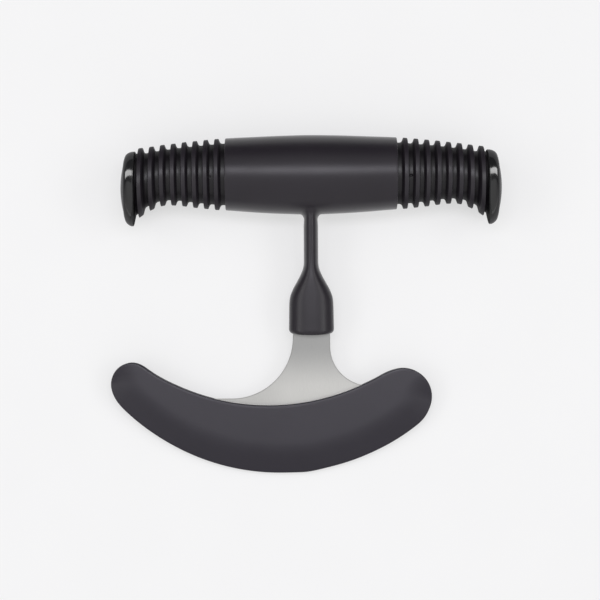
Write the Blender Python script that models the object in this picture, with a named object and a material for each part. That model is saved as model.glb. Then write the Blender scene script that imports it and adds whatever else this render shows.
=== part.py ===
"""Rocker knife: a T handle on a thin stem, a steel crescent blade and its slip-on guard.

Units are metres, +Z is up.  The knife lies on its side: the barrel's belly and the
guard's back rest on the ground, so the blade's plane leans a little over the table.

Drawing plane: x runs along the barrel, y runs from the blade up to the barrel, z is
square to the blade (the blade's mid-plane is z = 0, the barrel's axis is y = z = 0).
Lengths below are millimetres in that plane; MM turns them into metres.
"""
import bpy
import bmesh
import math
from mathutils import Vector

MM = 0.001

# ---------------------------------------------------------------- driving dimensions (mm)
LEAN_DEG = 6.74          # lean of the blade's plane when the knife lies on a table
ORIGIN_SHIFT = (1.549, 42.678, 13.260)   # moves the drawing's origin to the box's bottom centre

GAP = 0.3                # clearance between touching pieces

# barrel: (distance from the middle, half height, height of the middle line)
BARREL = [
    (0.0, 13.27, 0.00), (8.5, 13.02, 0.04), (17.0, 12.56, 0.11), (28.2, 11.86, 0.31),
    (31.3, 11.67, 0.29), (34.9, 11.33, 0.33), (38.6, 10.94, 0.34), (42.2, 10.52, 0.42),
    (45.8, 10.12, 0.35), (49.4, 10.00, 0.10), (53.1, 10.37, -0.82), (56.7, 11.23, -2.13),
    (59.5, 12.20, -3.40),
]
SKIN_END = 28.5          # the smooth middle of the barrel stops here
RIB_FIRST = 31.3         # centre of the first rib
RIB_PITCH = 3.62
RIB_COUNT = 8
RIB_CREST = 1.30
RIB_BASE = 2.30
RIB_DEPTH = 1.75
SLEEVE_END = 57.9

CAP_MID_Y = -4.35        # the caps sit lower than the barrel's axis, as finger stops
CAP_R = 12.45
CAP_IN = 58.5
CAP_OUT = 63.6
PLUG_R = 3.9
PLUG_LEN = 9.0

CORE_R = 10.0            # crossbar of the core under the skin
CORE_END_R = 6.3         # crossbar of the core under the sleeves
CORE_END = 58.2
CORE_BORE_R = 4.2
SKIN_WALL = 0.9

# stem and ferrule: (height, half width); the depth is the same all the way
STEM = [
    (-15.5, 2.27), (-29.6, 2.29), (-31.6, 2.67), (-33.6, 3.50), (-35.6, 4.57), (-37.6, 5.72),
    (-39.6, 6.63), (-41.6, 7.13), (-44.6, 7.28), (-51.6, 7.36),
]
STEM_DEPTH = 5.5
STEM_TOP = -15.5
FERRULE_END = -53.4

# tang and pins
TANG_TOP = -40.5
TANG_HALF = 4.6
PIN_R = 1.25
PIN_Y = (-44.0, -49.5)
PIN_HALF = 4.0

# blade
BLADE_T = 1.6
EDGE_T = 0.2
EDGE_C = (-10.6, -25.8)  # centre of the cutting edge's arc and of the guard's outer arc
EDGE_R = 70.0
GRIND = 5.0              # width of the ground bevel
NECK_TOP = -53.7
FLARE_L = (-26.53, -54.17, 20.37)
FLARE_R = (19.43, -57.07, 13.17)
TIP_R = (30.60, -73.90)

# guard
GUARD_R = 73.4
GUARD_IN_C = (-14.25, -2.73)
GUARD_IN_R = 74.17
GUARD_TIP_L = (-59.67, -69.80, 7.09)
GUARD_TIP_R = (30.63, -73.87, 9.50)
GUARD_T = 5.0
GUARD_SLOT = 2.2
TAPER_W = 7.5
TAPER_DEG = 8.5
TRAVEL = 30.0            # the knife's travel out of the guard

SEG = 40                 # facets round the barrel and the caps
RIB_SEG = 28             # facets round a ribbed sleeve


# ---------------------------------------------------------------- scene and helpers
for old in list(bpy.data.objects):
    bpy.data.objects.remove(old, do_unlink=True)

COLL = bpy.context.scene.collection


def material(name, color, roughness, metallic=0.0):
    mat = bpy.data.materials.new(name)
    mat.use_nodes = True
    bsdf = mat.node_tree.nodes["Principled BSDF"]
    bsdf.inputs["Base Color"].default_value = (*color, 1.0)
    bsdf.inputs["Roughness"].default_value = roughness
    bsdf.inputs["Metallic"].default_value = metallic
    mat.diffuse_color = (*color, 1.0)
    return mat


def make(name, bm, parent, mat=None, smooth=35.0):
    """Turn a bmesh drawn in millimetres into an object under the given empty."""
    bmesh.ops.scale(bm, vec=(MM, MM, MM), verts=bm.verts)
    bmesh.ops.recalc_face_normals(bm, faces=bm.faces)
    mesh = bpy.data.meshes.new(name)
    bm.to_mesh(mesh)
    bm.free()
    mesh.shade_smooth()
    mesh.set_sharp_from_angle(angle=math.radians(smooth))
    if mat is not None:
        mesh.materials.append(mat)
    obj = bpy.data.objects.new(name, mesh)
    COLL.objects.link(obj)
    obj.parent = parent
    return obj


def cutter(name, bm, parent):
    obj = make(name, bm, parent)
    obj.hide_render = True
    obj.display_type = 'WIRE'
    return obj


def boolean(obj, other, operation):
    mod = obj.modifiers.new(other.name, 'BOOLEAN')
    mod.operation = operation
    mod.solver = 'EXACT'
    mod.object = other


def loft(rings, ring_closed=False):
    """Skin a list of equal rings; the two ends are capped unless the loft closes on itself."""
    bm = bmesh.new()
    rows = [[bm.verts.new(p) for p in ring] for ring in rings]
    pairs = list(zip(rows, rows[1:]))
    if ring_closed:
        pairs.append((rows[-1], rows[0]))
    for a, b in pairs:
        n = len(a)
        for i in range(n):
            j = (i + 1) % n
            bm.faces.new((a[i], a[j], b[j], b[i]))
    if not ring_closed:
        bm.faces.new(rows[0])
        bm.faces.new(list(reversed(rows[-1])))
    return bm


def circle_x(x, r, mid_y=0.0, seg=SEG):
    return [(x, mid_y + r * math.cos(2 * math.pi * i / seg), r * math.sin(2 * math.pi * i / seg))
            for i in range(seg)]


def circle_z(x, y, z, r, seg=16):
    return [(x + r * math.cos(2 * math.pi * i / seg), y + r * math.sin(2 * math.pi * i / seg), z)
            for i in range(seg)]


def turned(profile, seg=SEG, mid_y=0.0):
    """Solid of revolution about the barrel's direction from (x, radius) stations."""
    return loft([circle_x(x, r, mid_y, seg) for x, r in profile])


def along(table, s, column):
    """Smooth value of a column of a station table at distance s."""
    keys = [row[0] for row in table]
    if s <= keys[0]:
        return table[0][column]
    if s >= keys[-1]:
        return table[-1][column]
    k = 0
    while keys[k + 1] < s:
        k += 1

    def slope(i):
        if i == 0:
            # the barrel is symmetric about its middle
            return 0.0
        if i == len(keys) - 1:
            return (table[i][column] - table[i - 1][column]) / (keys[i] - keys[i - 1])
        return (table[i + 1][column] - table[i - 1][column]) / (keys[i + 1] - keys[i - 1])

    h = keys[k + 1] - keys[k]
    t = (s - keys[k]) / h
    p0, p1 = table[k][column], table[k + 1][column]
    m0, m1 = slope(k) * h, slope(k + 1) * h
    return ((2 * t ** 3 - 3 * t ** 2 + 1) * p0 + (t ** 3 - 2 * t ** 2 + t) * m0
            + (-2 * t ** 3 + 3 * t ** 2) * p1 + (t ** 3 - t ** 2) * m1)


def barrel_r(x):
    return along(BARREL, abs(x), 1)


def barrel_mid(x):
    return along(BARREL, abs(x), 2)


def oval(a, b, y, power=2.3, seg=24):
    """Rounded oval of half width a and half depth b at height y."""
    pts = []
    for i in range(seg):
        t = 2 * math.pi * i / seg
        c, s = math.cos(t), math.sin(t)
        pts.append((a * math.copysign(abs(c) ** (2 / power), c), y,
                    b * math.copysign(abs(s) ** (2 / power), s)))
    return pts


# ---------------------------------------------------------------- frames
lean = math.radians(LEAN_DEG)


def frame_empty(name):
    empty = bpy.data.objects.new(name, None)
    empty.empty_display_size = 0.02
    COLL.objects.link(empty)
    empty.rotation_euler = (lean, 0.0, 0.0)
    empty.location = tuple(v * MM for v in ORIGIN_SHIFT)
    return empty


guard_frame = frame_empty("guard_frame")
knife_frame = frame_empty("knife_frame")      # the knife slides along this empty's local y

# ---------------------------------------------------------------- materials
SOFT = material("soft_black", (0.018, 0.018, 0.020), 0.52)
SLEEVE = material("ribbed_black", (0.015, 0.015, 0.017), 0.55)
GLOSS = material("gloss_black", (0.012, 0.012, 0.013), 0.16)
CORE = material("core_black", (0.030, 0.030, 0.032), 0.45)
STEEL = material("satin_steel", (0.62, 0.62, 0.61), 0.32, 1.0)
PIN_STEEL = material("pin_steel", (0.66, 0.66, 0.66), 0.25, 1.0)
GUARD = material("guard_black", (0.030, 0.030, 0.033), 0.40)


# ---------------------------------------------------------------- handle core
def core_profile():
    return [(-CORE_END, CORE_END_R), (-SKIN_END, CORE_END_R), (-SKIN_END, CORE_R),
            (SKIN_END, CORE_R), (SKIN_END, CORE_END_R), (CORE_END, CORE_END_R)]


def stem_rings(inset, top, bottom, seg=24):
    """Stem and ferrule as ovals, all sides moved in by inset, between two heights."""
    rings = [oval(STEM[0][1] - inset, STEM_DEPTH - inset, top, seg=seg)]
    for y, a in STEM:
        if bottom < y < top:
            rings.append(oval(a - inset, STEM_DEPTH - inset, y, seg=seg))
    rings.append(oval(STEM[-1][1] - inset, STEM_DEPTH - inset, bottom, seg=seg))
    return rings


core_inset = SKIN_WALL + GAP
core = make("handle_core", turned(core_profile()), knife_frame, CORE)
core_stem = cutter("core_stem_form", loft(stem_rings(core_inset, -8.0, FERRULE_END + 1.2)), knife_frame)
boolean(core, core_stem, 'UNION')
core_bore = cutter("core_bore_form", turned([(-CORE_END - 2, CORE_BORE_R), (CORE_END + 2, CORE_BORE_R)], 24),
                   knife_frame)
boolean(core, core_bore, 'DIFFERENCE')


def box(x0, x1, y0, y1, z0, z1):
    bm = bmesh.new()
    v = [bm.verts.new(p) for p in ((x0, y0, z0), (x1, y0, z0), (x1, y1, z0), (x0, y1, z0),
                                   (x0, y0, z1), (x1, y0, z1), (x1, y1, z1), (x0, y1, z1))]
    for f in ((0, 3, 2, 1), (4, 5, 6, 7), (0, 1, 5, 4), (1, 2, 6, 5), (2, 3, 7, 6), (3, 0, 4, 7)):
        bm.faces.new([v[i] for i in f])
    return bm


half_slot = BLADE_T / 2 + GAP
socket = cutter("tang_socket_form",
                box(-TANG_HALF - GAP, TANG_HALF + GAP, FERRULE_END - 3, TANG_TOP + GAP, -half_slot, half_slot),
                knife_frame)
boolean(core, socket, 'DIFFERENCE')

pin_holes = []
for tag, y in zip(("upper", "lower"), PIN_Y):
    hole = cutter("pin_hole_form_" + tag,
                  loft([circle_z(0, y, -9, PIN_R + GAP), circle_z(0, y, 9, PIN_R + GAP)]), knife_frame)
    pin_holes.append(hole)
    boolean(core, hole, 'DIFFERENCE')
    pin = make("tang_pin_" + tag,
               loft([circle_z(0, y, -PIN_HALF, PIN_R - 0.25), circle_z(0, y, -PIN_HALF + 0.25, PIN_R),
                     circle_z(0, y, PIN_HALF - 0.25, PIN_R), circle_z(0, y, PIN_HALF, PIN_R - 0.25)]),
               knife_frame, PIN_STEEL)

# ---------------------------------------------------------------- soft skin: barrel, stem, ferrule
stations = [-SKIN_END, -SKIN_END + 0.35, -21.0, -14.0, -8.0]
stations = stations + [0.0] + [-x for x in reversed(stations)]
rings = []
for x in stations:
    r = barrel_r(x) - (0.35 if abs(x) == SKIN_END else 0.0)
    rings.append(circle_x(x, r, barrel_mid(x)))
skin = make("handle_skin", loft(rings), knife_frame, SOFT)

# the stem flares out where it meets the barrel
FILLET = ((2.00, -0.15), (1.30, 0.33), (0.60, 1.10), (0.20, 1.85))
rings = [oval(STEM[0][1] + 2.0, STEM_DEPTH + 2.0, -8.0)]
for out, drop in FILLET:
    ring = []
    for x, _, z in oval(STEM[0][1] + out, STEM_DEPTH + out, 0.0):
        ring.append((x, -math.sqrt(barrel_r(x) ** 2 - z * z) - drop, z))
    rings.append(ring)
for y, a in STEM:
    rings.append(oval(a, STEM_DEPTH, y))
rings.append(oval(STEM[-1][1] - 0.08, STEM_DEPTH - 0.05, FERRULE_END + 0.9))
rings.append(oval(STEM[-1][1] - 0.35, STEM_DEPTH - 0.3, FERRULE_END + 0.3))
rings.append(oval(STEM[-1][1] - 0.9, STEM_DEPTH - 0.85, FERRULE_END))
skin_stem = cutter("skin_stem_form", loft(rings), knife_frame)
boolean(skin, skin_stem, 'UNION')
skin_bore = cutter("skin_bore_form", turned([(-SKIN_END - 2, CORE_R + GAP), (SKIN_END + 2, CORE_R + GAP)]),
                   knife_frame)
boolean(skin, skin_bore, 'DIFFERENCE')
skin_hollow = cutter("skin_hollow_form", loft(stem_rings(SKIN_WALL, -8.0, FERRULE_END + 0.9)), knife_frame)
boolean(skin, skin_hollow, 'DIFFERENCE')
skin_mouth = cutter("skin_mouth_form",
                    box(-TANG_HALF - GAP, TANG_HALF + GAP, FERRULE_END - 3, FERRULE_END + 2.5, -half_slot, half_slot),
                    knife_frame)
boolean(skin, skin_mouth, 'DIFFERENCE')


# ---------------------------------------------------------------- ribbed sleeves
def sleeve(name, side):
    """Grip sleeve: ribs in planes square to the barrel, their crests on the barrel's outline."""
    depth_at = lambda x: RIB_DEPTH + max(0.0, x - 49.0) * 0.04
    outer = [(SKIN_END + GAP, RIB_DEPTH), ]
    for k in range(RIB_COUNT):
        c = RIB_FIRST + k * RIB_PITCH
        d = depth_at(c)
        outer += [(c - RIB_BASE / 2, d), (c - RIB_CREST / 2, 0.0), (c + RIB_CREST / 2, 0.0), (c + RIB_BASE / 2, d)]
    rings = [circle_x(side * x, barrel_r(x) - drop, barrel_mid(x), RIB_SEG) for x, drop in outer]
    rings[-1] = circle_x(side * SLEEVE_END, barrel_r(SLEEVE_END) - depth_at(SLEEVE_END),
                         barrel_mid(SLEEVE_END), RIB_SEG)
    rings.append(circle_x(side * SLEEVE_END, CORE_END_R + GAP, 0.0, RIB_SEG))
    rings.append(circle_x(side * (SKIN_END + GAP), CORE_END_R + GAP, 0.0, RIB_SEG))
    return make(name, loft(rings, ring_closed=True), knife_frame, SLEEVE)


sleeve("grip_sleeve_left", -1)
sleeve("grip_sleeve_right", 1)


# ---------------------------------------------------------------- end caps
def end_cap(name, side):
    """Domed cap: a narrow rim, a rounded shoulder and a shallow dome, with a snap plug."""
    rim = 61.2
    profile = [(CAP_IN, CAP_R - 0.35), (CAP_IN + 0.35, CAP_R), (rim, CAP_R - 0.65)]
    shoulder = 1.0
    cx, cr = rim, CAP_R - 0.65 - shoulder
    for k in range(1, 3):
        a = math.radians(90 - 32 * k)
        profile.append((cx + shoulder * math.cos(a) * 0.95, cr + shoulder * math.sin(a)))
    x1, r1 = profile[-1]
    rise = CAP_OUT - x1
    for k in range(1, 4):
        t = k / 4
        profile.append((x1 + rise * (1 - (1 - t) ** 2), r1 * (1 - t)))
    rings = [circle_x(side * x, r, CAP_MID_Y) for x, r in profile]
    bm = bmesh.new()
    rows = [[bm.verts.new(p) for p in ring] for ring in rings]
    for a, b in zip(rows, rows[1:]):
        for i in range(SEG):
            j = (i + 1) % SEG
            bm.faces.new((a[i], a[j], b[j], b[i]))
    bm.faces.new(rows[0])
    top = bm.verts.new((side * CAP_OUT, CAP_MID_Y, 0.0))
    for i in range(SEG):
        bm.faces.new((rows[-1][i], rows[-1][(i + 1) % SEG], top))
    cap = make(name, bm, knife_frame, GLOSS)
    start, end = CAP_IN + 1.5, CAP_IN - PLUG_LEN
    plug = cutter(name + "_plug_form",
                  loft([circle_x(side * start, PLUG_R, 0.0, 24), circle_x(side * (end + 1.2), PLUG_R, 0.0, 24),
                        circle_x(side * end, PLUG_R - 0.8, 0.0, 24)]), knife_frame)
    boolean(cap, plug, 'UNION')
    return cap


end_cap("end_cap_left", -1)
end_cap("end_cap_right", 1)


# ---------------------------------------------------------------- blade
def arc(cx, cy, r, a0, a1, n):
    """n + 1 points on an arc, angles in degrees."""
    return [(cx + r * math.cos(math.radians(a0 + (a1 - a0) * i / n)),
             cy + r * math.sin(math.radians(a0 + (a1 - a0) * i / n))) for i in range(n + 1)]


spine_l = FLARE_L[1] - FLARE_L[2]
spine_r = FLARE_R[1] - FLARE_R[2]
tip_dx, tip_dy = TIP_R[0] - EDGE_C[0], TIP_R[1] - EDGE_C[1]
tip_r = EDGE_R - math.hypot(tip_dx, tip_dy)      # the tip's rounding runs into the edge's arc
tip_deg = math.degrees(math.atan2(tip_dy, tip_dx))


def edge_angle(r, y):
    """Angle at which the arc of radius r about the edge's centre meets height y on the left."""
    return 180.0 + math.degrees(math.asin((EDGE_C[1] - y) / r))


n_arc = 36
outer = arc(*EDGE_C, EDGE_R, edge_angle(EDGE_R, spine_l), 360 + tip_deg, n_arc)
inner = arc(*EDGE_C, EDGE_R - GRIND, edge_angle(EDGE_R - GRIND, spine_l), 360 + tip_deg, n_arc)
tip_end = math.degrees(math.asin((spine_r - TIP_R[1]) / tip_r))
small = tip_r - GRIND
n_tip = 5
outer += arc(*TIP_R, tip_r, tip_deg, tip_end, n_tip)[1:]
inner += arc(*TIP_R, small, tip_deg, 0.0, n_tip)[1:-1] + [(TIP_R[0] + small, spine_r)]

# the blade's back from left to right: spine, left flare, shoulders of the neck, right flare, spine
back = list(reversed(arc(FLARE_L[0], FLARE_L[1], FLARE_L[2], -4.0, -90.0, 14)))
back += [(-6.10, NECK_TOP - 0.3), (-TANG_HALF, NECK_TOP), (TANG_HALF, NECK_TOP), (6.20, NECK_TOP - 0.3)]
back += arc(FLARE_R[0], FLARE_R[1], FLARE_R[2], 180.0, 270.0, 12)
tang = [(TANG_HALF, TANG_TOP - 0.6), (TANG_HALF - 0.6, TANG_TOP), (-TANG_HALF + 0.6, TANG_TOP),
        (-TANG_HALF, TANG_TOP - 0.6)]

bm = bmesh.new()
half_t, half_e = BLADE_T / 2, EDGE_T / 2


def layer(points, z):
    return [bm.verts.new((x, y, z)) for x, y in points]


def strip(low, high):
    """Triangles between two chains that run left to right and share their end points."""
    a, b = low, [low[0]] + high + [low[-1]]
    i = j = 0
    while i < len(a) - 1 or j < len(b) - 1:
        step_a = i < len(a) - 1 and (j == len(b) - 1 or a[i + 1].co.x <= b[j + 1].co.x)
        tri = (a[i], a[i + 1], b[j]) if step_a else (a[i], b[j + 1], b[j])
        if len(set(tri)) == 3:
            bm.faces.new(tri)
        if step_a:
            i += 1
        else:
            j += 1


in_top, in_bot = layer(inner, half_t), layer(inner, -half_t)
out_top, out_bot = layer(outer, half_e), layer(outer, -half_e)
back_top, back_bot = layer(back, half_t), layer(back, -half_t)
tang_top, tang_bot = layer(tang, half_t), layer(tang, -half_t)
for i in range(len(inner) - 1):
    bm.faces.new((in_top[i], in_top[i + 1], out_top[i + 1], out_top[i]))
    bm.faces.new((in_bot[i], out_bot[i], out_bot[i + 1], in_bot[i + 1]))
    bm.faces.new((out_top[i], out_top[i + 1], out_bot[i + 1], out_bot[i]))
strip(in_top, back_top)
strip(in_bot, back_bot)
root_l = back.index((-TANG_HALF, NECK_TOP))
root_r = root_l + 1
bm.faces.new([back_top[root_l], back_top[root_r]] + tang_top)
bm.faces.new([back_bot[root_l], back_bot[root_r]] + tang_bot)
rim_top = [in_top[0]] + back_top[:root_l + 1] + list(reversed(tang_top)) + back_top[root_r:] + [in_top[-1]]
rim_bot = [in_bot[0]] + back_bot[:root_l + 1] + list(reversed(tang_bot)) + back_bot[root_r:] + [in_bot[-1]]
for i in range(len(rim_top) - 1):
    bm.faces.new((rim_top[i], rim_top[i + 1], rim_bot[i + 1], rim_bot[i]))
bm.faces.new((in_top[0], out_top[0], out_bot[0], in_bot[0]))
bm.faces.new((in_top[-1], in_bot[-1], out_bot[-1], out_top[-1]))
blade = make("blade", bm, knife_frame, STEEL, 20.0)
for hole in pin_holes:
    boolean(blade, hole, 'DIFFERENCE')


# ---------------------------------------------------------------- guard
def tip_polar(tip):
    dx, dy = tip[0] - EDGE_C[0], tip[1] - EDGE_C[1]
    return math.hypot(dx, dy), math.atan2(dy, dx) % (2 * math.pi)


D_L, PHI_L = tip_polar(GUARD_TIP_L)
D_R, PHI_R = tip_polar(GUARD_TIP_R)
END_L = PHI_L - math.asin(GUARD_TIP_L[2] / D_L)
END_R = PHI_R + math.asin(GUARD_TIP_R[2] / D_R)


def smoother(t):
    t = min(1.0, max(0.0, t))
    return t * t * (3 - 2 * t)


def soft_max(a, b, k):
    h = max(k - abs(a - b), 0.0) / k
    return max(a, b) + h * h * k * 0.25


def guard_span(phi):
    """Distances from the edge's centre at which a ray crosses the guard's inner and outer outline."""
    u = (math.cos(phi), math.sin(phi))
    w = (EDGE_C[0] - GUARD_IN_C[0], EDGE_C[1] - GUARD_IN_C[1])
    wu = w[0] * u[0] + w[1] * u[1]
    r_in = -wu + math.sqrt(wu * wu - (w[0] ** 2 + w[1] ** 2) + GUARD_IN_R ** 2)
    r_out = GUARD_R
    for d, p, r, sign in ((D_L, PHI_L, GUARD_TIP_L[2], -1), (D_R, PHI_R, GUARD_TIP_R[2], 1)):
        delta = sign * (phi - p)          # positive beyond the tip's centre
        reach = d + r
        if delta <= 0:
            r_out -= (GUARD_R - reach) * (1 - smoother(-delta / math.radians(18)))
        else:
            root = math.sqrt(max(0.0, r * r - (d * math.sin(delta)) ** 2))
            r_out = d * math.cos(delta) + root
            near = d * math.cos(delta) - root
            r_in = soft_max(r_in, near, 0.6) if root > 0.3 else near
            r_in = min(r_in, r_out)
    return r_in, r_out


def guard_half(x, y, phi, r_out):
    """Half thickness of the guard at a point: flat, then thinner towards the outer edge."""
    rho = math.hypot(x - EDGE_C[0], y - EDGE_C[1])
    d = r_out - rho
    for tip, p, sign in ((GUARD_TIP_L, PHI_L, -1), (GUARD_TIP_R, PHI_R, 1)):
        if sign * (phi - p) > 0:
            dx, dy = x - tip[0], y - tip[1]
            out = dx * math.cos(p) + dy * math.sin(p)
            end = sign * (-dx * math.sin(p) + dy * math.cos(p))
            # the taper follows the round end, then runs off level with it on the inner side
            d = tip[2] - (math.hypot(out, end) if out > 0 else end)
    d = max(0.0, d)
    return GUARD_T / 2 - max(0.0, TAPER_W - d) * math.tan(math.radians(TAPER_DEG))


phis = []
n_tip_rays, n_mid_rays = 6, 34
for i in range(1, n_tip_rays):
    phis.append(PHI_L + (END_L - PHI_L) * math.cos(math.pi / 2 * i / n_tip_rays))
for i in range(n_mid_rays + 1):
    phis.append(PHI_L + (PHI_R - PHI_L) * i / n_mid_rays)
for i in range(n_tip_rays - 1, 0, -1):
    phis.append(PHI_R + (END_R - PHI_R) * math.cos(math.pi / 2 * i / n_tip_rays))

bm = bmesh.new()
rows_top, rows_bot = [], []
for phi in phis:
    r_in, r_out = guard_span(phi)
    wide = r_out - r_in
    crease = r_out - min(TAPER_W, 0.55 * wide)
    rho_list = [r_in, r_in + min(0.5, 0.1 * wide), crease, r_out - 0.4 * (r_out - crease),
                r_out - min(0.5, 0.1 * wide), r_out]
    top, bot = [], []
    for k, rho in enumerate(rho_list):
        x, y = EDGE_C[0] + rho * math.cos(phi), EDGE_C[1] + rho * math.sin(phi)
        h = guard_half(x, y, phi, r_out)
        if k == 0:
            h -= 0.35
        if k == len(rho_list) - 1:
            h -= 0.40
        top.append(bm.verts.new((x, y, h)))
        bot.append(bm.verts.new((x, y, -h)))
    rows_top.append(top)
    rows_bot.append(bot)
n_v = len(rows_top[0])
for i in range(len(phis) - 1):
    for k in range(n_v - 1):
        bm.faces.new((rows_top[i][k], rows_top[i][k + 1], rows_top[i + 1][k + 1], rows_top[i + 1][k]))
        bm.faces.new((rows_bot[i][k], rows_bot[i + 1][k], rows_bot[i + 1][k + 1], rows_bot[i][k + 1]))
    for k in (0, n_v - 1):
        bm.faces.new((rows_top[i][k], rows_top[i + 1][k], rows_bot[i + 1][k], rows_bot[i][k]))
for row, (end_phi, d) in ((0, (END_L, D_L)), (-1, (END_R, D_R))):
    r_end = d * math.cos(end_phi - (PHI_L if row == 0 else PHI_R))
    x, y = EDGE_C[0] + r_end * math.cos(end_phi), EDGE_C[1] + r_end * math.sin(end_phi)
    h = GUARD_T / 2 - TAPER_W * math.tan(math.radians(TAPER_DEG)) - 0.40
    t, b = bm.verts.new((x, y, h)), bm.verts.new((x, y, -h))
    for k in range(n_v - 1):
        bm.faces.new((rows_top[row][k], rows_top[row][k + 1], t))
        bm.faces.new((rows_bot[row][k], rows_bot[row][k + 1], b))
    for k in (0, n_v - 1):
        bm.faces.new((rows_top[row][k], t, b, rows_bot[row][k]))
guard = make("blade_guard", bm, guard_frame, GUARD, 30.0)

# the slot is the blade's own outline with clearance, carried on upwards, so the knife lifts straight out
slot_r = EDGE_R + 0.6
left_x, right_x = -62.0, TIP_R[0] + tip_r + 0.6
left_deg = 180.0 + math.degrees(math.acos((EDGE_C[0] - left_x) / slot_r))
outline = [(left_x, -50.0)] + arc(*EDGE_C, slot_r, left_deg, 360 + tip_deg, 40)
outline += arc(*TIP_R, tip_r + 0.6, tip_deg, 0.0, 8)[1:] + [(right_x, -50.0)]
hs = GUARD_SLOT / 2
bm = bmesh.new()
lo = [bm.verts.new((x, y, -hs)) for x, y in outline]
hi = [bm.verts.new((x, y, hs)) for x, y in outline]
for i in range(len(outline)):
    j = (i + 1) % len(outline)
    bm.faces.new((lo[i], lo[j], hi[j], hi[i]))
bm.faces.new(lo)
bm.faces.new(list(reversed(hi)))
bmesh.ops.triangulate(bm, faces=[f for f in bm.faces if len(f.verts) > 4])
slot = cutter("guard_slot_form", bm, guard_frame)
boolean(guard, slot, 'DIFFERENCE')

bpy.context.view_layer.update()
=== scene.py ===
import math

import bmesh
import bpy
import numpy as np
from mathutils import Matrix, Vector


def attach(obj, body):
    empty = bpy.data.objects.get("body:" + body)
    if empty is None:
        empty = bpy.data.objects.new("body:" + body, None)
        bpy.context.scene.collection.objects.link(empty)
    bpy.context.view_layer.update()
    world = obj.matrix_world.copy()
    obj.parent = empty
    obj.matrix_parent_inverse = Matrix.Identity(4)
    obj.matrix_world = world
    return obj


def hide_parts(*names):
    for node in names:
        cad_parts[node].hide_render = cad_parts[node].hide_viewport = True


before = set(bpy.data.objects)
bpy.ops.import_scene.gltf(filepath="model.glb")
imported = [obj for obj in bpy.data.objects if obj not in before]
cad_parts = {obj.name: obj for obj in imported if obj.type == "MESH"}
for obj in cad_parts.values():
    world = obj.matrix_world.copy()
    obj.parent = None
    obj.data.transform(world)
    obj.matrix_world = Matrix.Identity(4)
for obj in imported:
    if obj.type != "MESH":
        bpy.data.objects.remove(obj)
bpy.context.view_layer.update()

# ------------------------------------------------------------------ drawing plane
# Shapes are drawn in millimetres in the blade's own plane: x along the barrel, y from the
# blade up to the barrel, z square to the blade.  to_world carries that drawing into the frame.
MM = 0.001
LEAN = math.radians(6.74)
SHIFT = np.array((1.549, 42.678, 13.260))
ROT = np.array(((1.0, 0.0, 0.0),
                (0.0, math.cos(LEAN), -math.sin(LEAN)),
                (0.0, math.sin(LEAN), math.cos(LEAN))))


def to_world(points):
    return (np.asarray(points, float) @ ROT.T + SHIFT) * MM


def plane_matrix():
    m = Matrix(ROT.tolist()).to_4x4()
    m.translation = Vector((SHIFT * MM).tolist())
    return m


# ------------------------------------------------------------------ sizes (mm)
BARREL = [
    (0.0, 13.235, 0.00), (8.5, 13.05, 0.04), (17.0, 12.68, 0.11), (28.2, 12.02, 0.31),
    (31.3, 11.83, 0.29), (34.9, 11.50, 0.33), (38.6, 11.12, 0.34), (42.2, 10.70, 0.42),
    (45.8, 10.30, 0.35), (49.4, 10.16, 0.10), (53.1, 10.54, -0.82), (56.7, 11.40, -2.13),
    (59.5, 12.36, -3.40),
]
STEM = [
    (-12.0, 2.41), (-20.0, 2.41), (-26.0, 2.41), (-29.6, 2.44), (-30.6, 2.58), (-31.6, 2.83),
    (-32.6, 3.23), (-33.6, 3.68), (-34.6, 4.20), (-35.6, 4.75), (-36.6, 5.32), (-37.6, 5.88),
    (-38.6, 6.34), (-39.6, 6.76), (-40.6, 7.07), (-41.6, 7.25), (-42.6, 7.34), (-44.6, 7.40),
    (-48.6, 7.46), (-52.4, 7.51),
]
STEM_DEPTH = [(-11.0, 6.55), (-13.0, 6.28), (-15.0, 6.05), (-17.5, 5.85), (-21.0, 5.68), (-25.0, 5.55),
              (-28.5, 5.48), (-30.5, 5.49), (-32.5, 5.55), (-34.5, 5.61), (-36.5, 5.62), (-40.5, 5.60),
              (-46.0, 5.56), (-53.4, 5.48)]
SKIN_END = 28.5
FERRULE_END = -53.4
SLEEVE_IN, SLEEVE_OUT = 28.52, 58.42
RIB_FIRST, RIB_PITCH, RIB_COUNT = 31.37, 3.613, 8
# flat crest, and the run of the wall facing the middle and of the wall facing the cap
RIB_CREST, RIB_RUN_IN, RIB_RUN_OUT, RIB_DEPTH = 1.30, 0.66, 0.24, 1.72
CORE_R, CORE_END_R = 10.3, 6.6
CAP_MID_Y, CAP_IN, CAP_OUT = -4.35, 58.5, 63.41

BLADE_T, EDGE_T = 1.6, 0.2
EDGE_C, EDGE_R, GRIND = (-10.6, -25.8), 70.0, 5.0
FLARE_L = (-26.53, -54.17, 20.37)
FLARE_R = (19.43, -57.07, 13.17)
TIP_R = (30.60, -73.90)
TANG_HALF, TANG_TOP = 4.6, -40.5

GUARD_R = 73.38
GUARD_IN_C, GUARD_IN_R = (-14.25, -2.73), 74.03
GUARD_TIP_L = (-59.528, -69.58, 7.09)
GUARD_TIP_R = (30.63, -73.87, 9.50)
GUARD_T, GUARD_SLOT, TAPER_W, TAPER_DEG = 5.0, 2.2, 7.5, 9.6
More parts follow.
